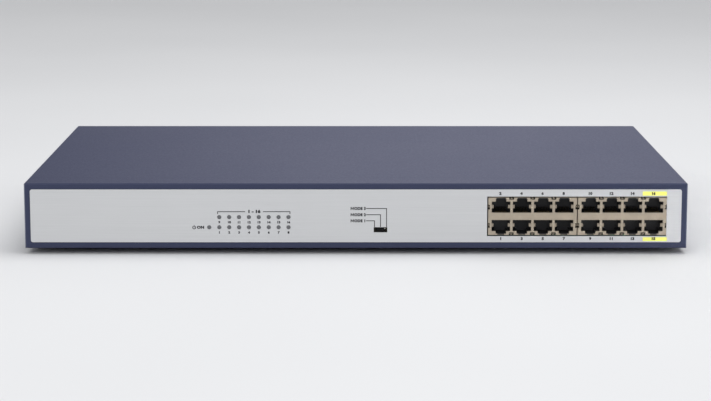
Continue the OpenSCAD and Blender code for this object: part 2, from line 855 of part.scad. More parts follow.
module jack_shield_left() { color("tan") at_jack(jack_left_x) jack_shield(); }
module jack_shield_right() { color("tan") at_jack(jack_right_x) jack_shield(); }
module jack_housing_left() { color("black") at_jack(jack_left_x) jack_housing(); }
module jack_housing_right() { color("black") at_jack(jack_right_x) jack_housing(); }
module jack_contacts_left() { color("goldenrod") at_jack(jack_left_x) jack_contacts(); }
module jack_contacts_right() { color("goldenrod") at_jack(jack_right_x) jack_contacts(); }

// Mode switch

// A block about the switch's axis
module mode_block(w, y0, y1, h) {
    block(mode_x - w / 2, mode_x + w / 2, y0, y1, mode_axis_z - h / 2, mode_axis_z + h / 2);
}

module mode_switch_frame() {
    color("silver") difference() {
        mode_block(mode_w, mode_front_y, mode_front_y + mode_d, mode_h);
        mode_block(
            mode_w + 2 * past, mode_front_y + mode_sheet_t, mode_front_y + mode_d + past,
            mode_h - 2 * mode_sheet_t
        );
        mode_block(
            stem_w + 2 * (mode_travel + slide_play), mode_front_y - past, carriage_y,
            stem_h + 2 * slide_play
        );
    }
}

module mode_switch_base() {
    color("saddlebrown")
        mode_block(mode_w, mode_base_y, mode_base_y + mode_base_t, mode_h - 2 * mode_sheet_t);
}

// Four pins that lie against the back of the base and run down through the board
terminal_xs = [for (i = [-1.5:1:1.5]) mode_x + i * 2.5];
terminal_w = 0.6;

module mode_switch_terminals() {
    y0 = mode_base_y + mode_base_t;
    color("gold") for (x = terminal_xs) {
        block(x - terminal_w / 2, x + terminal_w / 2, y0, y0 + terminal_w, board_low_z - past, mode_axis_z);
    }
}

module mode_switch_slider() {
    tip_y = plate_face_y + knob_recess;
    color("black") {
        difference() {
            mode_block(knob_w, tip_y, mode_front_y - slide_play, knob_h);
            for (i = [-1:1]) translate([i * groove_pitch, 0, 0])
                mode_block(groove_w, tip_y - past, tip_y + groove_w, knob_h + past);
        }
        mode_block(stem_w, mode_front_y - slide_play - past / 2, carriage_y + carriage_t / 2, stem_h);
        mode_block(
            carriage_w, carriage_y, carriage_y + carriage_t,
            mode_h - 2 * (mode_sheet_t + slide_play)
        );
    }
}

// A sprung bridge on the back of the sliding piece, just clear of the base
module mode_switch_wiper() {
    back = carriage_y + carriage_t;
    reach = mode_base_y - slide_play - back;
    color("gold") mode_block(carriage_w - 2, back, back + wiper_t, 1.6);
    color("gold") for (s = [-1, 1])
        translate([s * 1.5, 0, 0]) mode_block(0.8, back, back + reach, 1.6);
}

// Indicators

module led(x, z) {
    r = led_d / 2;
    shaft = led_hold_y - plate_face_y;
    dome_r = (r * r + led_proud * led_proud) / (2 * led_proud);
    translate([x, led_hold_y, z]) rotate([90, 0, 0]) rotate_extrude() {
        translate([0, -led_stub]) square([r, led_stub + shaft]);
        square([led_flange_r, led_flange_t]);
        intersection() {
            translate([0, shaft + led_proud - dome_r]) circle(dome_r);
            translate([0, shaft - led_proud]) square([r, 2 * led_proud]);
        }
    }
}

module link_leds() {
    color("gray") for (x = led_xs) for (z = led_zs) led(x, z);
}

module power_led() {
    color("gray") led(led_power_x, led_zs[0]);
}

module led_holder(x, zs) {
    top = max(zs) + led_hold_rim;
    difference() {
        block(
            x - led_hold_w / 2, x + led_hold_w / 2, led_hold_y, led_hold_y + led_hold_d,
            board_top_z, top
        );
        for (z = zs) bar_y(x, led_hold_y - past, led_hold_y + led_stub + 0.3, z, led_d / 2 + led_gap / 2);
    }
}

module led_holders() {
    color("black") {
        for (x = led_xs) led_holder(x, led_zs);
        led_holder(led_power_x, [led_zs[0]]);
    }
}

// Main board

module board_plate(x0, x1, y0, y1, holes) {
    difference() {
        block(x0, x1, y0, y1, board_low_z, board_top_z);
        for (h = holes) translate([h[0], h[1], board_low_z - past])
            cylinder(r = board_hole_r, h = pcb_t + 2 * past);
    }
}

module standoffs(holes) {
    h = board_low_z - floor_z;
    for (p = holes) translate([p[0], p[1], floor_z]) difference() {
        cylinder(r = standoff_r, h = h);
        translate([0, 0, -past]) cylinder(r = standoff_bore_r, h = h + 2 * past);
    }
}

module board_fasteners(holes) {
    l = pcb_t + (board_low_z - floor_z) * 0.7;
    for (p = holes) translate([p[0], p[1], board_top_z - l]) pan_screw(l);
}

module main_board() {
    color("green") difference() {
        board_plate(main_x0, main_x1, main_y0, main_y1, main_holes);
        for (x = terminal_xs) block(
            x - terminal_w, x + terminal_w, mode_base_y + mode_base_t - terminal_w / 2,
            mode_base_y + mode_base_t + 1.5 * terminal_w, board_low_z - past, board_top_z + past
        );
    }
}

module board_standoffs() { color("silver") standoffs(main_holes); }
module board_screws() { color("silver") board_fasteners(main_holes); }

module switch_chip() {
    leads = 16;
    lead_pitch = (chip_w - 2 * lead_margin) / (leads - 1);
    color("dimgray") {
        on_board(chip_x, chip_y, chip_w, chip_w, chip_h);
        for (a = [0:90:270]) translate([chip_x, chip_y, board_top_z]) rotate([0, 0, a])
            for (i = [0:leads - 1])
                translate([chip_w / 2, (i - (leads - 1) / 2) * lead_pitch - lead_w / 2, 0])
                    cube([lead_l, lead_w, lead_t]);
    }
}

module chip_heatsink() {
    gap = (sink_w - fin_t) / (sink_fins - 1);
    z0 = board_top_z + chip_h;
    color("silver") {
        translate([chip_x - sink_w / 2, chip_y - sink_w / 2, z0]) cube([sink_w, sink_w, sink_base]);
        for (i = [0:sink_fins - 1])
            translate([chip_x - sink_w / 2 + i * gap, chip_y - sink_w / 2, z0])
                cube([fin_t, sink_w, sink_h]);
    }
}

module line_transformers() {
    step = (jack_right_x - jack_left_x) / 2;
    color("dimgray") for (i = [0:3])
        on_board(jack_left_x - jack_w / 4 + i * step, magnetics_y, magnetics_l, magnetics_d, magnetics_h);
}

module crystal() {
    color("silver") translate([chip_x - chip_w - crystal_gap, chip_y, board_top_z])
        linear_extrude(crystal_h) soft_rect(crystal_w, crystal_d, crystal_d * 0.48);
}

module can(x, y, r, h) {
    translate([x, y, board_top_z]) rotate_extrude() {
        square([r, h - can_step]);
        square([r - can_step, h]);
    }
}

module board_capacitors() {
    color("midnightblue") for (i = [0:3])
        can(main_x0 + cap_in + i * cap_pitch, main_y1 - cap_back, cap_r, cap_h);
}

module power_inductor() {
    color("dimgray") translate([main_x0 + coil_in, main_y1 - coil_back, board_top_z]) {
        linear_extrude(coil_t) soft_rect(coil_w, coil_w, coil_corner);
        cylinder(r = coil_r, h = coil_h - coil_t / 2);
        translate([0, 0, coil_h - coil_t]) linear_extrude(coil_t) soft_rect(coil_w, coil_w, coil_corner);
    }
}

module regulator() {
    color("dimgray") {
        on_board(main_x0 + reg_in, main_y1 - coil_back, reg_w, reg_d, reg_h);
        on_board(main_x0 + reg_in, main_y1 - coil_back + reg_d / 2 + reg_tab_d / 2 - past / 2,
            reg_tab_w, reg_tab_d, reg_tab_t);
    }
}

// A header block with a keyed step along the front of its top; the wires stand on its top
module header(x, y) {
    color("ivory") difference() {
        on_board(x, y, header_w, header_d, header_h);
        translate([x - header_w / 2 - past, y - header_d / 2 - past, board_top_z + header_h * 0.6])
            cube([header_w + 2 * past, past + header_key, header_h]);
    }
}

module dc_board_header() { header(dc_header_x, dc_header_y); }
module psu_dc_header() { header(psu_dc_x, psu_dc_y); }
module psu_ac_header() { header(ac_header_x, ac_header_y); }

// Supply

module psu_board() {
    color("green") board_plate(psu_x0, psu_x1, psu_y0, psu_y1, psu_holes);
}

module psu_standoffs() { color("silver") standoffs(psu_holes); }
module psu_screws() { color("silver") board_fasteners(psu_holes); }

film_t = 0.4;
film_play = 0.5;

module psu_insulator() {
    color("white") difference() {
        block(psu_x0, psu_x1, psu_y0, psu_y1, floor_z, floor_z + film_t);
        for (p = psu_holes) translate([p[0], p[1], floor_z - past])
            cylinder(r = standoff_r + film_play, h = film_t + 2 * past);
    }
}

trafo_w = 26;
trafo_d = 22;
trafo_h = 24;
core_leg = 6;
core_gap = 0.2;
former_t = 3;

// Two closed E cores as one block with two windows for the coil former
module psu_transformer_core() {
    window = (trafo_w - 3 * core_leg) / 2;
    z0 = board_top_z + trafo_lift;
    color("dimgray") difference() {
        block(
            trafo_x - trafo_w / 2, trafo_x + trafo_w / 2, trafo_y - core_leg, trafo_y + core_leg,
            z0, board_top_z + trafo_h
        );
        for (s = [-1, 1]) translate([trafo_x + s * (core_leg + window) / 2, trafo_y, z0 + core_leg])
            translate([-window / 2, -trafo_d, 0])
                cube([window, 2 * trafo_d, trafo_h - trafo_lift - 2 * core_leg]);
    }
}

// The coil former with its winding, wrapped around the core's middle leg
module psu_transformer_bobbin() {
    window = (trafo_w - 3 * core_leg) / 2;
    z0 = board_top_z + trafo_lift + core_leg + core_gap;
    z1 = board_top_z + trafo_h - core_leg - core_gap;
    w = core_leg + 2 * (window - core_gap);
    color("goldenrod") difference() {
        union() {
            block(trafo_x - w / 2, trafo_x + w / 2, trafo_y - trafo_d / 2, trafo_y + trafo_d / 2, z0, z1);
            for (s = [-1, 1]) translate([0, s * (trafo_d - former_t) / 2, 0])
                block(
                    trafo_x - w / 2, trafo_x + w / 2,
                    trafo_y - former_t / 2, trafo_y + former_t / 2, board_top_z, z1
                );
        }
        block(
            trafo_x - core_leg / 2 - core_gap, trafo_x + core_leg / 2 + core_gap,
            trafo_y - core_leg - core_gap, trafo_y + core_leg + core_gap, z0 - past, z1 + past
        );
    }
}

module psu_bulk_capacitor() {
    color("midnightblue") can(psu_x0 + bulk_in, psu_y0 + bulk_back, bulk_r, bulk_h);
}

heat_in = 38;
heat_back = 34;
heat_x = psu_x0 + heat_in;
heat_y = psu_y0 + heat_back;
heat_l = 44;
heat_t = 2;
heat_h = 24;
rib_pitch = 10;
rib_t = 1.4;
rib_d = 4;
transistor_w = 10;
transistor_d = 4.5;
transistor_h = 15;
transistor_lift = 4;
transistor_spread = 12;
transistor_lead = 0.8;
transistor_lead_pitch = 2.5;

module psu_heatsink() {
    color("silver") {
        on_board(heat_x, heat_y, heat_l, heat_t, heat_h);
        for (i = [-2:2])
            on_board(heat_x + i * rib_pitch, heat_y + (heat_t + rib_d) / 2 - rib_t / 2, rib_t, rib_d, heat_h);
    }
}

module psu_transistor() {
    y = heat_y - (heat_t + transistor_d) / 2;
    color("dimgray") for (i = [-1, 1]) {
        x = heat_x + i * transistor_spread;
        translate([0, 0, transistor_lift]) on_board(x, y, transistor_w, transistor_d, transistor_h);
        for (k = [-1:1])
            on_board(
                x + k * transistor_lead_pitch, y, transistor_lead, transistor_lead,
                transistor_lift + transistor_lead
            );
    }
}

filter_back = 20;
ring_in = 58;
ring_r = 6;
ring_w = 6;
ring_d = 8;
ring_corner = 1.5;
film_cap_in = 38;
film_cap_w = 8;
film_cap_d = 18;
film_cap_h = 15;
out_cap_in = 14;
out_cap_back = 46;
out_cap_pitch = 13;
out_cap_r = 5;
out_cap_h = 18;

module psu_line_choke() {
    color("darkorange")
        translate([psu_x0 + ring_in, psu_y1 - filter_back, board_top_z + ring_r + ring_w / 2])
            rotate([90, 0, 0]) rotate_extrude() translate([ring_r, 0]) soft_rect(ring_w, ring_d, ring_corner);
}

module psu_film_capacitor() {
    color("gold") on_board(psu_x0 + film_cap_in, psu_y1 - filter_back, film_cap_w, film_cap_d, film_cap_h);
}

module psu_output_capacitors() {
    color("midnightblue") for (i = [0:1])
        can(psu_x1 - out_cap_in, psu_y0 + out_cap_back + i * out_cap_pitch, out_cap_r, out_cap_h);
}

fuse_in = 15;
fuse_x = psu_x0 + fuse_in;
fuse_y = psu_y1 - filter_back;
fuse_l = 20;
fuse_r = 2.6;
fuse_lift = 6;
fuse_z = board_top_z + fuse_lift;
fuse_cap = 5;
fuse_cap_t = 0.2;
clip_t = 0.5;
clip_w = 4;
clip_play = 0.02;
clip_over = 2;

module psu_fuse() {
    color("lightgray") {
        bar_y(fuse_x, fuse_y - fuse_l / 2, fuse_y + fuse_l / 2, fuse_z, fuse_r - fuse_cap_t);
        for (s = [0, 1]) {
            y0 = fuse_y - fuse_l / 2 + s * (fuse_l - fuse_cap);
            bar_y(fuse_x, y0, y0 + fuse_cap, fuse_z, fuse_r);
        }
    }
}

module psu_fuse_clips() {
    side_x = fuse_r + clip_play;
    color("silver") for (s = [-1, 1]) {
        y0 = fuse_y + s * (fuse_l - fuse_cap) / 2 - clip_w / 2;
        for (k = [0, 1]) translate([fuse_x, 0, 0]) mirror([k, 0, 0])
            block(side_x, side_x + clip_t, y0, y0 + clip_w, board_top_z, fuse_z + clip_over);
        block(
            fuse_x - side_x - clip_t / 2, fuse_x + side_x + clip_t / 2, y0, y0 + clip_w,
            board_top_z, fuse_z - fuse_r - clip_play
        );
    }
}

// Mains inlet, its outline seen from behind: two corners on the earth side are cut off
module inlet_outline(grow) {
    w = inlet_w / 2 + grow;
    h = inlet_h / 2 + grow;
    c = inlet_chamfer + grow * 0.6;
    polygon([[-w, -h], [w, -h], [w, h - c], [w - c, h], [c - w, h], [-w, h - c]]);
}

module ac_inlet() {
    color("black") difference() {
        union() {
            from_front(rear_y, inlet_flange_t) translate([inlet_x, inlet_mid_z])
                soft_rect(inlet_flange_w, inlet_flange_h, inlet_corner);
            from_front(inlet_back_y, rear_y - inlet_back_y + past) translate([inlet_x, inlet_mid_z])
                inlet_outline(inlet_wall);
        }
        from_front(inlet_back_y + inlet_back_t, inlet_d + past) translate([inlet_x, inlet_mid_z])
            inlet_outline(0);
        for (b = blade_spots)
            block(
                b[0] - blade_w / 2 - blade_play, b[0] + blade_w / 2 + blade_play,
                inlet_back_y - past, inlet_back_y + inlet_back_t + past,
                b[1] - blade_h / 2 - blade_play, b[1] + blade_h / 2 + blade_play
            );
        for (s = [-1, 1]) translate([inlet_x + s * inlet_screw_span / 2, inlet_face_y, inlet_mid_z])
            rotate([90, 0, 0]) {
                cylinder(r1 = screw_r * 2 + screw_play, r2 = screw_r + screw_play, h = screw_r);
                cylinder(r = screw_r + screw_play, h = inlet_flange_t + past);
            }
    }
}

// Places of the two line blades and the earth blade
blade_spots = [
    [inlet_x - blade_span / 2, inlet_mid_z - blade_off],
    [inlet_x + blade_span / 2, inlet_mid_z - blade_off],
    [inlet_x, inlet_mid_z + blade_off]
];

module ac_inlet_pins() {
    color("silver") for (b = blade_spots)
        block(
            b[0] - blade_w / 2, b[0] + blade_w / 2, inlet_back_y - blade_tail, inlet_face_y - blade_tip,
            b[1] - blade_h / 2, b[1] + blade_h / 2
        );
}

module ac_inlet_screws() {
    l = inlet_flange_t + sheet_t + screw_r * 2.7;
    color("silver") for (s = [-1, 1])
        translate([inlet_x + s * inlet_screw_span / 2, inlet_face_y, inlet_mid_z]) rotate([90, 0, 0])
            difference() {
                union() {
                    cylinder(r1 = screw_r * 2, r2 = screw_r, h = screw_r);
                    cylinder(r = screw_r, h = l);
                }
                for (a = [0, 90]) rotate([0, 0, a])
                    cube([screw_r * 2.4, cross_w, screw_r * 0.8], center = true);
            }
}

// A hexagon nut along Y whose far face is at y
module hex_nut(x, y, z, r, t) {
    translate([x, y, z]) rotate([90, 0, 0]) difference() {
        cylinder(r = r * 2, h = t, $fn = 6);
        translate([0, 0, -past]) cylinder(r = r + screw_play, h = t + 2 * past);
    }
}

module ac_inlet_nuts() {
    color("silver") for (s = [-1, 1])
        hex_nut(inlet_x + s * inlet_screw_span / 2, rear_y - sheet_t, inlet_mid_z, screw_r, screw_r * 1.6);
}

module earth_screw() {
    color("gold") translate([earth_x, rear_y, earth_z]) rotate([-90, 0, 0]) {
        translate([0, 0, -earth_l]) cylinder(r = earth_r, h = earth_l);
        difference() {
            rotate_extrude() {
                square([earth_head_r, earth_head_h * 0.6]);
                square([earth_head_r * 0.75, earth_head_h]);
            }
            for (a = [0, 90]) rotate([0, 0, a]) translate([0, 0, earth_head_h])
                cube([earth_r * 2, cross_w, earth_r * 0.6], center = true);
        }
    }
}

// A ring lug between the rear wall and the nut, with its crimp barrel turned away from the wall
module earth_lug() {
    y1 = rear_y - sheet_t;
    color("gold") {
        difference() {
            union() {
                bar_y(earth_x, y1 - lug_t, y1, earth_z, lug_r);
                block(
                    earth_x - wire_r, earth_x + wire_r, y1 - lug_t, y1,
                    earth_z + earth_r + screw_play, lug_barrel_z + wire_r
                );
            }
            bar_y(earth_x, y1 - lug_t - past, y1 + past, earth_z, earth_r + screw_play);
        }
        bar_y(earth_x, y1 - lug_barrel_l, y1 - lug_t / 2, lug_barrel_z, wire_r);
    }
}

module earth_nut() {
    color("silver") hex_nut(earth_x, rear_y - sheet_t - lug_t, earth_z, earth_r, nut_t);
}

// Wires inside the box, each from one face to another
mains_bow = 12;
mains_rise = 16;
earth_bow = 18;
earth_sweep = 34;
dc_rise = 18;

module mains_leads() {
    color("saddlebrown") for (i = [0, 1]) {
        from = [blade_spots[i][0], inlet_back_y - blade_tail, blade_spots[i][1]];
        to = [ac_header_x + (i - 0.5) * wire_gap, ac_header_y, board_top_z + header_h];
        wire([from, from - [0, mains_bow, 0], to + [0, 0, mains_rise], to], wire_r, [1, 0, 0]);
    }
}

module earth_lead() {
    from = [blade_spots[2][0], inlet_back_y - blade_tail, blade_spots[2][1]];
    to = [earth_x, rear_y - sheet_t - lug_barrel_l, lug_barrel_z];
    color("yellowgreen")
        wire([from, from - [0, earth_bow, 0], to - [0, earth_sweep, 0], to], wire_r, [0, 0, 1]);
}

module dc_leads() {
    color("firebrick") for (i = [0, 1]) {
        side = [0, (i - 0.5) * wire_gap, 0];
        from = [psu_dc_x, psu_dc_y, board_top_z + header_h] + side;
        to = [dc_header_x, dc_header_y, board_top_z + header_h] + side;
        wire([from, from + [0, 0, dc_rise], to + [0, 0, dc_rise], to], wire_r, [0, 1, 0]);
    }
}

base_tray();
top_cover();
front_plate();
cover_screws();
rubber_feet();
ac_inlet();
ac_inlet_pins();
ac_inlet_screws();
ac_inlet_nuts();
earth_screw();
earth_nut();
earth_lug();
main_board();
board_standoffs();
board_screws();
jack_shield_left();
jack_housing_left();
jack_contacts_left();
jack_shield_right();
jack_housing_right();
jack_contacts_right();
mode_switch_frame();
mode_switch_base();
mode_switch_terminals();
mode_switch_slider();
mode_switch_wiper();
link_leds();
power_led();
led_holders();
switch_chip();
chip_heatsink();
line_transformers();
crystal();
board_capacitors();
power_inductor();
regulator();
dc_board_header();
psu_board();
psu_standoffs();
psu_screws();
psu_insulator();
psu_transformer_core();
psu_transformer_bobbin();
psu_bulk_capacitor();
psu_heatsink();
psu_transistor();
psu_line_choke();
psu_film_capacitor();
psu_output_capacitors();
psu_fuse();
psu_fuse_clips();
psu_ac_header();
psu_dc_header();
mains_leads();
earth_lead();
dc_leads();
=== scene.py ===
import json
import math

import bmesh
import bpy
from mathutils import Matrix, Vector


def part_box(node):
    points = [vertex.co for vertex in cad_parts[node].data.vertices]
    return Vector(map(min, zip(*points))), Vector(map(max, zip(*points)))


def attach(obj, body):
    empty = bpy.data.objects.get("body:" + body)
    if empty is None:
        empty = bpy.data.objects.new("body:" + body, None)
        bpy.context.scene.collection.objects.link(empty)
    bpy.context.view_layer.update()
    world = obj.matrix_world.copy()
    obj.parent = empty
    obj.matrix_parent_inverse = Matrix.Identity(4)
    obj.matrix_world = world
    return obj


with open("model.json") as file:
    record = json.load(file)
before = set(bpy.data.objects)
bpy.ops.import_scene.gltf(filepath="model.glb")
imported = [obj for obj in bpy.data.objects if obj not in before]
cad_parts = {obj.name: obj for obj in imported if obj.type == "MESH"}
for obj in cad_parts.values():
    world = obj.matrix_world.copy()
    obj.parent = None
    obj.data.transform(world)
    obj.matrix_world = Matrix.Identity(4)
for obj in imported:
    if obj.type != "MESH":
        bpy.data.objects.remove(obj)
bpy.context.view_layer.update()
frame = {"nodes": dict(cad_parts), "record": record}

MM = 0.001
CHASSIS = "chassis"
SLIDER = "mode_slider"

# Planes of the printed faces, in metres, taken from the solids
PLATE_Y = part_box("front_plate")[0][1]
REAR_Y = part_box("top_cover")[1][1]
INK_T = 0.03 * MM


def tone(red, green, blue):
    """A colour given as it looks on a screen, as the linear colour that a shader takes."""
    def linear(value):
        value /= 255
        return value / 12.92 if value <= 0.04045 else ((value + 0.055) / 1.055) ** 2.4
    return (linear(red), linear(green), linear(blue), 1.0)


class Finish:
    """A material whose colour, roughness and relief come from patterns in the piece's own frame."""

    def __init__(self, name, **sockets):
        self.material = bpy.data.materials.new(name)
        self.material.use_nodes = True
        tree = self.material.node_tree
        self.nodes = tree.nodes
        self.links = tree.links
        self.nodes.clear()
        output = self.nodes.new("ShaderNodeOutputMaterial")
        self.shader = self.nodes.new("ShaderNodeBsdfPrincipled")
        self.links.new(self.shader.outputs["BSDF"], output.inputs["Surface"])
        self.place = self.nodes.new("ShaderNodeTexCoord").outputs["Object"]
        for socket, value in sockets.items():
            self.shader.inputs[socket.replace("_", " ")].default_value = value

    def scaled(self, period, stretch):
        """The place, in periods given in millimetres, stretched along each axis."""
        mapping = self.nodes.new("ShaderNodeMapping")
        mapping.inputs["Scale"].default_value = [1 / (period * MM * s) for s in stretch]
        self.links.new(self.place, mapping.inputs["Vector"])
        return mapping.outputs["Vector"]

    def noise(self, period, detail, stretch=(1, 1, 1)):
        node = self.nodes.new("ShaderNodeTexNoise")
        node.inputs["Scale"].default_value = 1.0
        node.inputs["Detail"].default_value = detail
        self.links.new(self.scaled(period, stretch), node.inputs["Vector"])
        return node.outputs["Fac"]

    def cells(self, period, feature="F1", stretch=(1, 1, 1)):
        node = self.nodes.new("ShaderNodeTexVoronoi")
        node.feature = feature
        node.inputs["Scale"].default_value = 1.0
        self.links.new(self.scaled(period, stretch), node.inputs["Vector"])
        return node.outputs["Distance"]

    def span(self, value, low, high, start=0.3, end=0.7):
        """Stretches a pattern's range from start to end over low to high."""
        node = self.nodes.new("ShaderNodeMapRange")
        for socket, number in (("From Min", start), ("From Max", end), ("To Min", low), ("To Max", high)):
            node.inputs[socket].default_value = number
        self.links.new(value, node.inputs["Value"])
        return node.outputs["Result"]

    def mix(self, factor, first, second):
        node = self.nodes.new("ShaderNodeMix")
        node.data_type = "RGBA"
        self.links.new(factor, node.inputs[0])
        for socket, colour in ((node.inputs[6], first), (node.inputs[7], second)):
            if isinstance(colour, bpy.types.NodeSocket):
                self.links.new(colour, socket)
            else:
                socket.default_value = colour
        return node.outputs[2]

    def math(self, operation, first, second):
        node = self.nodes.new("ShaderNodeMath")
        node.operation = operation
        for socket, value in zip(node.inputs, (first, second)):
            if isinstance(value, bpy.types.NodeSocket):
                self.links.new(value, socket)
            else:
                socket.default_value = value
        return node.outputs[0]

    def blend(self, first, share, second):
        """A sum of two patterns, with the first one's share given."""
        parts = self.math("MULTIPLY", first, share), self.math("MULTIPLY", second, 1 - share)
        return self.math("ADD", *parts)

    def side_bends(self):
        """Mask of a painted highlight: zero off the bends at the left and right sides, one on their upright
        runs, less on the cover's.
        """
        flat, full, upper = 0.985, 0.8, 0.4
        lean = (0.1, 0.4)
        normal = self.nodes.new("ShaderNodeNewGeometry").outputs["Normal"]
        size = self.nodes.new("ShaderNodeVectorMath")
        size.operation = "ABSOLUTE"
        self.links.new(normal, size.inputs[0])
        parts = self.nodes.new("ShaderNodeSeparateXYZ")
        self.links.new(size.outputs[0], parts.inputs[0])
        across, along, up = parts.outputs
        largest = self.math("MAXIMUM", self.math("MAXIMUM", across, along), up)
        turned = self.span(largest, 0.0, 1.0, flat, full)
        bends = self.math("MULTIPLY", turned, self.span(across, 0.0, 1.0, *lean))
        return self.math("MULTIPLY", bends, self.span(up, 1.0, upper, *lean))

    def relief(self, height, depth, strength, under=None):
        """A bump of the given depth in millimetres, over another bump where one is given."""
        node = self.nodes.new("ShaderNodeBump")
        node.inputs["Distance"].default_value = depth * MM
        node.inputs["Strength"].default_value = strength
        self.links.new(height, node.inputs["Height"])
        if under is not None:
            self.links.new(under, node.inputs["Normal"])
        return node.outputs["Normal"]

    def finish(self, colour, rough, normal=None):
        """Joins the patterns to the shader and gives the material."""
        self.links.new(colour, self.shader.inputs["Base Color"])
        self.links.new(rough, self.shader.inputs["Roughness"])
        if normal is not None:
            self.links.new(normal, self.shader.inputs["Normal"])
        return self.material


def shade(colour, factor):
    """A colour made darker or lighter."""
    return tuple(min(1.0, c * factor) for c in colour[:3]) + (1.0,)


def powder_coat(name, colour):
    """Powder paint with a fine grain over a soft peel, and a painted highlight on the bends at the sides."""
    look = Finish(name, Specular_IOR_Level=0.35)
    grain = look.noise(period=0.3, detail=3)
    peel = look.noise(period=1.3, detail=2)
    cloud = look.noise(period=90, detail=3)
    bend_highlight = look.side_bends()
    base = look.mix(look.span(grain, 0, 1), shade(colour, 0.86), shade(colour, 1.12))
    base = look.mix(look.span(cloud, 0.0, 0.3), base, shade(colour, 1.12))
    # Painted highlight: the bends at the sides are lightened towards a pale grey-blue
    base = look.mix(look.math("MULTIPLY", bend_highlight, 0.8), base, tone(128, 134, 150))
    rough = look.span(look.blend(cloud, 0.2, peel), 0.42, 0.52)
    peeled = look.relief(peel, depth=0.03, strength=0.45)
    return look.finish(base, rough, look.relief(grain, depth=0.012, strength=0.5, under=peeled))


def brushed(name, colour, metallic, low, high, stretch):
    """Sheet metal with fine parallel brush marks along the axis that is stretched most."""
    contrast = 0.06
    look = Finish(name, Metallic=metallic)
    fine = look.noise(period=0.12, detail=2, stretch=stretch)
    coarse = look.noise(period=0.7, detail=3, stretch=stretch)
    cloud = look.noise(period=70, detail=2)
    streak = look.blend(fine, 0.55, coarse)
    base = look.mix(look.span(streak, 0, 1), shade(colour, 1 - contrast), shade(colour, 1 + contrast))
    base = look.mix(look.span(cloud, 0.0, 0.25), base, shade(colour, 1.07))
    rough = look.span(streak, low, high)
    return look.finish(base, rough, look.relief(streak, depth=0.004, strength=0.6))


def plated(name, colour, metallic=1.0, low=0.24, high=0.4, blotch=8):
    """Pressed or turned metal with a plating that is a little cloudy and finely scuffed."""
    look = Finish(name, Metallic=metallic)
    cloud = look.noise(period=blotch, detail=4)
    grain = look.noise(period=0.18, detail=3)
    scuff = look.noise(period=0.3, detail=2, stretch=(1, 8, 1))
    base = look.mix(look.span(cloud, 0, 1), shade(colour, 0.88), shade(colour, 1.08))
    base = look.mix(look.span(grain, 0.0, 0.3), base, shade(colour, 0.8))
    rough = look.span(look.blend(cloud, 0.6, scuff), low, high)
    return look.finish(base, rough, look.relief(scuff, depth=0.01, strength=0.35))


def moulded(name, colour, low=0.4, high=0.55, period=0.22, depth=0.012, **sockets):
    """Moulded plastic or rubber with a fine spark-eroded grain and faint flow marks."""
    look = Finish(name, **sockets)
    grain = look.noise(period=period, detail=3)
    flow = look.noise(period=14, detail=2, stretch=(1, 1, 3))
    base = look.mix(look.span(grain, 0, 1), shade(colour, 0.8), shade(colour, 1.25))
    base = look.mix(look.span(flow, 0.0, 0.35), base, shade(colour, 1.4))
    return look.finish(base, look.span(flow, low, high), look.relief(grain, depth=depth, strength=0.5))


def printed(name, colour, spread):
    """Screen printing ink with the mesh's faint dots and uneven cover."""
    low, high = 0.45, 0.6
    look = Finish(name, Specular_IOR_Level=0.25)
    dots = look.cells(period=0.16)
    cover = look.noise(period=1.5, detail=3)
    base = look.mix(look.span(cover, 0, 1), shade(colour, 1 - spread), shade(colour, 1 + spread))
    base = look.mix(look.span(dots, 0.0, 0.25, start=0.1, end=0.7), base, shade(colour, 1 + 2 * spread))
    return look.finish(base, look.span(cover, low, high), look.relief(dots, depth=0.006, strength=0.4))


def circuit_board(name, colour):
    """Solder resist over copper tracks: cells give the tracks' edges and dots their holes."""
    look = Finish(name, Coat_Weight=0.3, Coat_Roughness=0.2)
    tracks = look.cells(period=6, feature="DISTANCE_TO_EDGE", stretch=(1, 1, 40))
    vias = look.cells(period=3.1, stretch=(1, 1, 40))
    cloud = look.noise(period=25, detail=3)
    base = look.mix(look.span(tracks, 1, 0, start=0.02, end=0.06), shade(colour, 0.85), shade(colour, 1.7))
    base = look.mix(look.span(vias, 1, 0, start=0.08, end=0.11), base, tone(150, 140, 96))
    base = look.mix(look.span(cloud, 0.0, 0.3), base, shade(colour, 0.6))
    return look.finish(base, look.span(cloud, 0.3, 0.42), look.relief(tracks, depth=0.03, strength=0.4))


def wound(name, colour, pitch):
    """Enamelled wire laid turn by turn: bands across the piece with a rounded relief, and painted shade in
    the grooves between turns.
    """
    look = Finish(name, Metallic=0.7, Coat_Weight=0.5, Coat_Roughness=0.15)
    wave = look.nodes.new("ShaderNodeTexWave")
    wave.bands_direction = "DIAGONAL"
    wave.inputs["Scale"].default_value = 0.3
    wave.inputs["Distortion"].default_value = 0.4
    look.links.new(look.scaled(pitch, stretch=(1, 1, 1)), wave.inputs["Vector"])
    turns = wave.outputs["Fac"]
    cloud = look.noise(period=5, detail=3)
    # Painted shade: darker in the grooves between turns, lighter on their crowns
    base = look.mix(look.span(turns, 0, 1, start=0, end=1), shade(colour, 0.45), shade(colour, 1.15))
    return look.finish(base, look.span(cloud, 0.25, 0.4), look.relief(turns, depth=0.25, strength=0.8))


def glass_tube(name, colour):
    """Clear glass with a faint haze."""
    look = Finish(name, Transmission_Weight=0.7, IOR=1.48)
    cloud = look.noise(period=3, detail=2)
    base = look.mix(look.span(cloud, 0, 1), shade(colour, 0.92), colour)
    return look.finish(base, look.span(cloud, 0.04, 0.12))


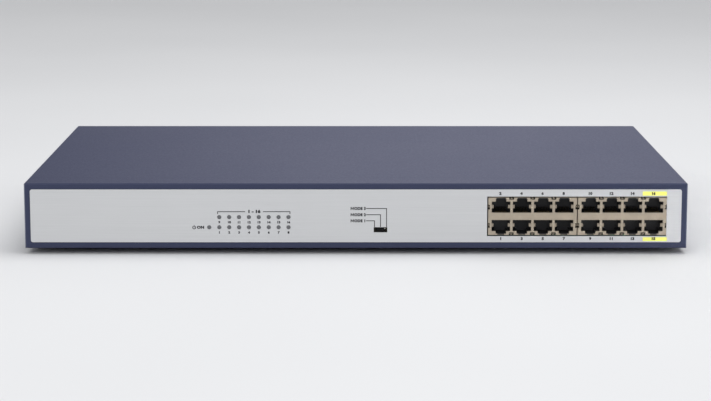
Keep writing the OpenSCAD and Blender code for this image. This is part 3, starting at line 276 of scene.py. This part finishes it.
FINISHES = {
    "painted_steel": powder_coat("painted_steel", (0.029, 0.037, 0.085, 1)),
    "silver_plate": brushed(
        "silver_plate", tone(206, 207, 208), metallic=0.35, low=0.36, high=0.46, stretch=(260, 1, 1),
    ),
    "jack_shield": plated("jack_shield", tone(179, 167, 149), metallic=0.55, low=0.32, high=0.46),
    "black_plastic": moulded("black_plastic", tone(34, 34, 35)),
    "gilt_contacts": plated("gilt_contacts", tone(124, 107, 74), low=0.3, high=0.45, blotch=2),
    "plain_steel": plated("plain_steel", tone(190, 190, 188)),
    "dark_screws": plated("dark_screws", tone(72, 76, 90), metallic=0.8, low=0.3, high=0.45, blotch=2),
    "black_rubber": moulded("black_rubber", tone(34, 34, 35), low=0.7, high=0.85, period=0.35, depth=0.03),
    "tinned_blades": plated("tinned_blades", tone(205, 205, 203), low=0.15, high=0.28, blotch=4),
    "brass_earth": plated("brass_earth", tone(206, 176, 108), low=0.25, high=0.4, blotch=3),
    "green_board": circuit_board("green_board", tone(24, 92, 52)),
    # The switch frame is darkened so that the slot behind the plate reads near black: painted shade in the
    # recess
    "switch_frame": plated("switch_frame", tone(46, 44, 38), metallic=0.9, low=0.3, high=0.45, blotch=3),
    "brown_laminate": moulded(
        "brown_laminate", tone(104, 70, 44), low=0.5, high=0.65, period=0.5, depth=0.02,
    ),
    "black_knob": moulded("black_knob", tone(14, 14, 15), period=0.18, Specular_IOR_Level=0.15),
    "grey_lens": moulded("grey_lens", tone(100, 101, 104), period=0.5, depth=0.004, Specular_IOR_Level=0.25),
    "chip_epoxy": moulded("chip_epoxy", tone(38, 38, 40), low=0.55, high=0.7, period=0.15),
    "bare_aluminium": brushed(
        "bare_aluminium", tone(200, 200, 202), metallic=0.9, low=0.3, high=0.42, stretch=(1, 60, 1),
    ),
    "capacitor_sleeve": moulded(
        "capacitor_sleeve", tone(30, 36, 66), low=0.25, high=0.4, period=0.6, depth=0.006,
    ),
    "ferrite": moulded("ferrite", tone(62, 62, 64), low=0.55, high=0.75, period=0.4, depth=0.03),
    "white_nylon": moulded("white_nylon", tone(226, 222, 208)),
    "clear_film": moulded("clear_film", tone(228, 228, 222), low=0.15, high=0.3, period=1.5, depth=0.01),
    "yellow_tape": moulded("yellow_tape", tone(214, 184, 70), low=0.25, high=0.4, period=0.8, depth=0.01),
    "copper_winding": wound("copper_winding", tone(196, 118, 70), pitch=0.9),
    "fuse_glass": glass_tube("fuse_glass", tone(226, 230, 228)),
    "brown_wire": moulded("brown_wire", tone(96, 62, 40), low=0.3, high=0.45, period=0.6, depth=0.01),
    "earth_wire": moulded("earth_wire", tone(154, 182, 66), low=0.3, high=0.45, period=0.6, depth=0.01),
    "red_wire": moulded("red_wire", tone(176, 44, 38), low=0.3, high=0.45, period=0.6, depth=0.01),
}

for part in frame["record"]["subparts"]:
    mesh = frame["nodes"][part["node"]].data
    mesh.materials.clear()
    mesh.materials.append(FINISHES[part["material_slot"]])


# Printing on the front plate, drawn in millimetres of the front view

DARK_INK = printed("dark_ink", tone(34, 34, 38), spread=0.12)
YELLOW_INK = printed("yellow_ink", tone(249, 250, 128), spread=0.02)
PALE_INK = printed("pale_ink", tone(214, 216, 220), spread=0.08)

# Stroke of the characters, as a share of their size, and of the lines, in millimetres
BOLD = 0.07
LINE = 0.5


def close_outlines(shape):
    """Joins the characters' sides to their faces, and clears crossed corners and slivers of no area.

    The distances are shares of the characters' size.
    """
    weld, crossing, sliver = 3e-5, 0.05, 1e-6
    mesh = bmesh.new()
    mesh.from_mesh(shape)
    bmesh.ops.remove_doubles(mesh, verts=mesh.verts, dist=weld)
    crossed = {v for e in mesh.edges if len(e.link_faces) != 2 for v in e.verts}
    bmesh.ops.remove_doubles(mesh, verts=list(crossed), dist=crossing)
    for _ in range(len(mesh.faces)):
        thin = next((f for f in mesh.faces if f.calc_area() < sliver), None)
        if thin is None:
            break
        bmesh.ops.rotate_edges(mesh, edges=[max(thin.edges, key=lambda e: e.calc_length())])
    mesh.to_mesh(shape)
    mesh.free()


class Print:
    """Flat ink shapes on one face, gathered into one closed mesh."""

    def __init__(self):
        self.mesh = bmesh.new()

    def outline(self, points):
        """One filled outline, given anticlockwise in the view, as a thin closed slab."""
        front, back = (
            [self.mesh.verts.new((x * MM, depth, z * MM)) for x, z in points]
            for depth in (-INK_T, 0.0)
        )
        self.mesh.faces.new(front)
        self.mesh.faces.new(list(reversed(back)))
        for i in range(len(points)):
            k = (i + 1) % len(points)
            self.mesh.faces.new((front[k], front[i], back[i], back[k]))

    def bar(self, x0, x1, z0, z1):
        self.outline([(x0, z0), (x1, z0), (x1, z1), (x0, z1)])

    def angle_line(self, far, near, z, foot):
        """A line at height z from far to near, with a leg from near down to foot."""
        half = LINE / 2
        side = 1 if near > far else -1
        inner, outer = near - side * half, near + side * half
        points = [
            (far, z - half), (inner, z - half), (inner, foot),
            (outer, foot), (outer, z + half), (far, z + half),
        ]
        self.outline(points if side > 0 else list(reversed(points)))

    def patch(self, x0, x1, z0, z1, radius):
        """A filled rectangle with small round corners."""
        steps = 5
        points = []
        for cx, cz, turn in (
            (x0 + radius, z0 + radius, 180), (x1 - radius, z0 + radius, 270),
            (x1 - radius, z1 - radius, 0), (x0 + radius, z1 - radius, 90),
        ):
            for i in range(steps + 1):
                angle = math.radians(turn + 90 * i / steps)
                points.append((cx + radius * math.cos(angle), cz + radius * math.sin(angle)))
        self.outline(points)

    def arc(self, x, z, inner, outer, start, end, steps=28):
        """A piece of a ring between two angles in degrees."""
        angles = [math.radians(start + (end - start) * i / steps) for i in range(steps + 1)]
        points = [(x + outer * math.cos(a), z + outer * math.sin(a)) for a in angles]
        points += [(x + inner * math.cos(a), z + inner * math.sin(a)) for a in reversed(angles)]
        self.outline(points)

    def words(self, text, x, z, height, width=1.0, align="CENTER", spacing=1.0):
        """Plain characters, height tall, with their middle at z. Gives their left end.

        The 9 is a 6 turned round, because its own outline crosses itself when it is bold.
        """
        turned = text == "9"
        curve = bpy.data.curves.new("characters", "FONT")
        curve.body = "6" if turned else text
        curve.align_x = align
        curve.size = 1.0
        curve.offset = BOLD
        curve.space_character = spacing
        curve.extrude = 0.5
        curve.resolution_u = 4
        holder = bpy.data.objects.new("characters", curve)
        bpy.context.collection.objects.link(holder)
        bpy.context.view_layer.update()
        evaluated = holder.evaluated_get(bpy.context.evaluated_depsgraph_get())
        shape = bpy.data.meshes.new_from_object(evaluated)
        close_outlines(shape)
        if turned:
            shape.transform(Matrix.Rotation(math.pi, 4, "Z"))
        low = min(v.co.y for v in shape.vertices)
        high = max(v.co.y for v in shape.vertices)
        size = height * MM / (high - low)
        place = Matrix((
            (size * width, 0, 0, x * MM),
            (0, 0, -INK_T, -INK_T / 2),
            (0, size, 0, z * MM - size * (low + high) / 2),
            (0, 0, 0, 1),
        ))
        shape.transform(place)
        left = min(v.co.x for v in shape.vertices) / MM
        self.mesh.from_mesh(shape)
        bpy.data.meshes.remove(shape)
        bpy.data.objects.remove(holder)
        bpy.data.curves.remove(curve)
        return left

    def letter_m(self, right, z, height, width):
        """A bold capital M with its right end and its middle given."""
        x0, x1 = right - width, right
        low, high = z - height / 2, z + height / 2
        middle = right - width / 2
        shoulder = high - 1.7 * LINE
        notch_low, notch_high = low + 0.3 * LINE, low + 1.9 * LINE
        self.outline([
            (x0, low), (x0 + LINE, low), (x0 + LINE, shoulder), (middle, notch_low),
            (x1 - LINE, shoulder), (x1 - LINE, low), (x1, low), (x1, high),
            (x1 - LINE, high), (middle, notch_high), (x0 + LINE, high), (x0, high),
        ])

    def place(self, name, material, slot, face_y=PLATE_Y, behind=False):
        """Puts the print on a face that looks to the front, or to the back where behind is set."""
        same_point = 1e-7
        bmesh.ops.remove_doubles(self.mesh, verts=self.mesh.verts, dist=same_point)
        bmesh.ops.recalc_face_normals(self.mesh, faces=self.mesh.faces)
        data = bpy.data.meshes.new(name)
        self.mesh.to_mesh(data)
        self.mesh.free()
        turn = Matrix.Rotation(math.pi, 4, "Z") if behind else Matrix.Identity(4)
        data.transform(Matrix.Translation((0, face_y, 0)) @ turn)
        data.materials.append(material)
        piece = bpy.data.objects.new(name, data)
        bpy.context.collection.objects.link(piece)
        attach(piece, CHASSIS)
        return piece


# Port and indicator numbers are a little wider than the characters' own form
NUMBER_WIDTH = 1.15

# Port numbers: even ports above the window, odd ports below it
BLOCK_XS = (117.25, 176.7)
BLOCK_COLUMNS = 4
PORT_PITCH = 13.97
PORT_NUMBER_H = 2.0
UPPER_PORT_Z, LOWER_PORT_Z = 41.05, 10.65
UPPER_SHIFT = -0.55
port_numbers = Print()
for block, centre in enumerate(BLOCK_XS):
    for column in range(BLOCK_COLUMNS):
        x = centre + (column - (BLOCK_COLUMNS - 1) / 2) * PORT_PITCH
        odd = (block * BLOCK_COLUMNS + column) * 2 + 1
        port_numbers.words(str(odd + 1), x + UPPER_SHIFT, UPPER_PORT_Z, PORT_NUMBER_H, NUMBER_WIDTH)
        port_numbers.words(str(odd), x, LOWER_PORT_Z, PORT_NUMBER_H, NUMBER_WIDTH)
port_numbers.place("port_numbers", DARK_INK, "black_plastic")

# Indicator numbers under their lenses
LED_FIRST_X = -90.6
LED_PITCH = 6.56
LED_COLUMNS = 8
LED_NUMBER_H = 1.65
UPPER_LED_Z, LOWER_LED_Z = 21.7, 14.8
led_numbers = Print()
for column in range(LED_COLUMNS):
    x = LED_FIRST_X + column * LED_PITCH
    led_numbers.words(str(LED_COLUMNS + column + 1), x, UPPER_LED_Z, LED_NUMBER_H, NUMBER_WIDTH)
    led_numbers.words(str(column + 1), x, LOWER_LED_Z, LED_NUMBER_H, NUMBER_WIDTH)
led_numbers.place("indicator_numbers", DARK_INK, "black_plastic")

# The bracket over the indicators, with plain numbers in its gap, and the power sign beside its lens
BRACKET_Z = 28.8
BRACKET_FOOT = 27.3
BRACKET_RUNS = ((-73.4, -91.65), (-61.6, -43.65))
RANGE_X, RANGE_Z = -67.5, 29.0
POWER_X, POWER_Z, POWER_R = -107.3, 18.2, 1.25
POWER_STEM = 1.55
ON_END, ON_Z = -100.7, 18.3
bracket = Print()
for far, near in BRACKET_RUNS:
    bracket.angle_line(far, near, BRACKET_Z, BRACKET_FOOT)
bracket.words("1 - 16", RANGE_X, RANGE_Z, height=2.3, width=1.35)
bracket.arc(POWER_X, POWER_Z, POWER_R - LINE, POWER_R, start=125, end=415)
bracket.bar(POWER_X - LINE / 2, POWER_X + LINE / 2, POWER_Z, POWER_Z + POWER_STEM)
bracket.words("ON", ON_END, ON_Z, height=2.0, width=1.2, align="RIGHT", spacing=1.1)
bracket.place("indicator_bracket", DARK_INK, "black_plastic")

# Leader lines from the labels to the three places of the slide switch
LABEL_END = 6.9
LABEL_H = 2.05
LABEL_SPACING = 1.13
LABEL_GAP = 0.3
LETTER_GAP = 0.2
LETTER_M_WIDTH = 2.2
SLOT_TOP = 18.5
MODES = (("3", 30.95, 20.4), ("2", 26.75, 16.4), ("1", 22.65, 12.4))
leaders = Print()
for number, line_z, stop_x in MODES:
    leaders.angle_line(LABEL_END, stop_x, line_z, SLOT_TOP)
    # The first letter of MODE is drawn by letter_m
    left = leaders.words(
        "ODE " + number, LABEL_END - LABEL_GAP, line_z, LABEL_H, align="RIGHT", spacing=LABEL_SPACING,
    )
    leaders.letter_m(left - LETTER_GAP, line_z, LABEL_H, LETTER_M_WIDTH)
leaders.place("mode_leaders", DARK_INK, "black_plastic")


def rivet_head(name, body, x, y, z, radius, height):
    """A low turned head that stands out to the front from the face at y, in metres, as a closed mesh."""
    steps = 20
    profile = ((1.0, 0.0), (0.96, 0.5), (0.6, 0.9))
    mesh = bmesh.new()
    rings = []
    for share, rise in profile:
        out = radius * share
        ring = []
        for i in range(steps):
            angle = 2 * math.pi * i / steps
            corner = (x + out * math.cos(angle), y - height * rise, z + out * math.sin(angle))
            ring.append(mesh.verts.new(corner))
        rings.append(ring)
    for low, high in zip(rings, rings[1:]):
        for i in range(steps):
            k = (i + 1) % steps
            mesh.faces.new((low[i], low[k], high[k], high[i]))
    tip = mesh.verts.new((x, y - height, z))
    for i in range(steps):
        mesh.faces.new((rings[-1][i], rings[-1][(i + 1) % steps], tip))
    mesh.faces.new(list(reversed(rings[0])))
    bmesh.ops.recalc_face_normals(mesh, faces=mesh.faces)
    data = bpy.data.meshes.new(name)
    mesh.to_mesh(data)
    mesh.free()
    data.materials.append(FINISHES["white_nylon"])
    piece = bpy.data.objects.new(name, data)
    bpy.context.collection.objects.link(piece)
    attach(piece, body)


# The pale stud of the slide switch's carriage, seen in the slot beside the knob, where it stands in for a
# glint: a painted highlight
FRAME_SHEET = 0.4 * MM
SLIDE_PLAY = 0.12 * MM
CARRIAGE_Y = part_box("mode_switch_frame")[0][1] + FRAME_SHEET + SLIDE_PLAY
STUD_X, STUD_Z = 19.25 * MM, 17.02 * MM
STUD_R, STUD_H = 0.44 * MM, 0.08 * MM
rivet_head("slide_stud_glint", SLIDER, STUD_X, CARRIAGE_Y, STUD_Z, STUD_R, STUD_H)

# Yellow fields behind the last two port numbers, sunk by half the ink so that the numbers stand out
FIELDS = ((189.95, 206.05, 39.55, 42.4), (190.55, 206.65, 9.0, 11.6))
FIELD_CORNER = 0.25
fields = Print()
for x0, x1, z0, z1 in FIELDS:
    fields.patch(x0, x1, z0, z1, FIELD_CORNER)
field_piece = fields.place("number_fields", YELLOW_INK, "yellow_tape")
for vertex in field_piece.data.vertices:
    vertex.co.y += INK_T / 2

# The protective earth sign beside its screw, on the rear wall, drawn as it is seen from behind
EARTH_X, EARTH_Z, EARTH_R = 122.0, 28.0, 3.0
EARTH_LINE = 0.3
EARTH_STEM = 1.9
EARTH_ROW = 0.75
EARTH_HALVES = (1.7, 1.15, 0.6)
sign = Print()
sign.arc(EARTH_X, EARTH_Z, EARTH_R - EARTH_LINE, EARTH_R, start=0, end=359.9, steps=48)
sign.bar(EARTH_X - EARTH_LINE / 2, EARTH_X + EARTH_LINE / 2, EARTH_Z, EARTH_Z + EARTH_STEM)
for row, half in enumerate(EARTH_HALVES):
    low = EARTH_Z - EARTH_LINE - row * EARTH_ROW
    sign.bar(EARTH_X - half, EARTH_X + half, low, low + EARTH_LINE)
sign.place("earth_sign", PALE_INK, "white_nylon", face_y=REAR_Y, behind=True)


# Floor, light and camera

def stage_floor():
    """A wide pale floor under the feet."""
    mesh = bpy.data.meshes.new("floor")
    half = 6.0
    corners = [(-half, -half, 0), (half, -half, 0), (half, half, 0), (-half, half, 0)]
    mesh.from_pydata(corners, [], [(0, 1, 2, 3)])
    look = Finish("pale_floor", Specular_IOR_Level=0.2)
    cloud = look.noise(period=600, detail=2)
    base = look.mix(look.span(cloud, 0, 1), tone(226, 227, 229), tone(230, 231, 233))
    mesh.materials.append(look.finish(base, look.span(cloud, 0.75, 0.85)))
    floor = bpy.data.objects.new("floor", mesh)
    bpy.context.collection.objects.link(floor)


def soft_box(name, place, aim, size, watts, spread=180):
    """A rectangular lamp that looks at a point, with its spread in degrees."""
    data = bpy.data.lights.new(name, "AREA")
    data.shape = "RECTANGLE"
    data.size, data.size_y = size
    data.energy = watts
    data.spread = math.radians(spread)
    lamp = bpy.data.objects.new(name, data)
    lamp.location = place
    lamp.rotation_euler = (Vector(aim) - Vector(place)).to_track_quat("-Z", "Y").to_euler()
    bpy.context.collection.objects.link(lamp)


def studio_world(ambient, backdrop, tint):
    """A plain surround: one level for the light on the object, and a tinted backdrop that is mirrored.

    The backdrop is given as places across it, from left to right, with their levels.
    """
    world = bpy.data.worlds.new("studio")
    bpy.context.scene.world = world
    world.use_nodes = True
    nodes = world.node_tree.nodes
    links = world.node_tree.links
    nodes.clear()
    output = nodes.new("ShaderNodeOutputWorld")
    mix = nodes.new("ShaderNodeMixShader")
    path = nodes.new("ShaderNodeLightPath")
    seen = path.outputs["Is Camera Ray"]
    for ray in ("Is Glossy Ray", "Is Transmission Ray"):
        either = nodes.new("ShaderNodeMath")
        either.operation = "MAXIMUM"
        links.new(seen, either.inputs[0])
        links.new(path.outputs[ray], either.inputs[1])
        seen = either.outputs[0]
    links.new(seen, mix.inputs["Fac"])
    place = nodes.new("ShaderNodeSeparateXYZ")
    links.new(nodes.new("ShaderNodeTexCoord").outputs["Generated"], place.inputs[0])
    across = nodes.new("ShaderNodeMapRange")
    across.inputs["From Min"].default_value = -0.5
    across.inputs["From Max"].default_value = 0.5
    links.new(place.outputs["X"], across.inputs["Value"])
    sweep = nodes.new("ShaderNodeValToRGB")
    sweep.color_ramp.interpolation = "EASE"
    stops = sweep.color_ramp.elements
    while len(stops) < len(backdrop):
        stops.new(1.0)
    for stop, (place_across, level) in zip(stops, backdrop):
        stop.position = place_across
        stop.color = [level * share for share in tint] + [1]
    links.new(across.outputs["Result"], sweep.inputs["Fac"])
    lights = [nodes.new("ShaderNodeBackground") for _ in range(2)]
    lights[0].inputs["Color"].default_value = ambient
    links.new(sweep.outputs["Color"], lights[1].inputs["Color"])
    for socket, light in enumerate(lights, 1):
        links.new(light.outputs[0], mix.inputs[socket])
    links.new(mix.outputs[0], output.inputs["Surface"])


stage_floor()
studio_world(
    ambient=(0.62, 0.62, 0.62, 1),
    backdrop=((0.26, 0.08), (0.56, 0.98), (0.82, 0.37)),
    tint=(0.98, 0.985, 1.13),
)
soft_box("overhead", place=(0.35, 0.05, 1.5), aim=(0.0, 0.0, 0.0), size=(1.6, 1.2), watts=12)
soft_box("front_fill", place=(-0.5, -1.75, 0.9), aim=(0.0, -0.14, 0.03), size=(1.6, 1.0), watts=9)
soft_box(
    "right_accent", place=(0.95, -1.25, 0.1), aim=(0.36, -0.14, 0.02),
    size=(0.2, 0.05), watts=0.072, spread=16,
)

camera_data = bpy.data.cameras.new("photo_view")
camera_data.sensor_width = 36.0
camera_data.lens = 110.28
camera = bpy.data.objects.new("photo_view", camera_data)
camera.location = (-0.0002, -1.567, 0.2771)
camera.rotation_euler = (math.radians(80.395), 0.0, 0.0)
bpy.context.collection.objects.link(camera)
bpy.context.scene.camera = camera
bpy.context.scene.view_settings.view_transform = "Standard"
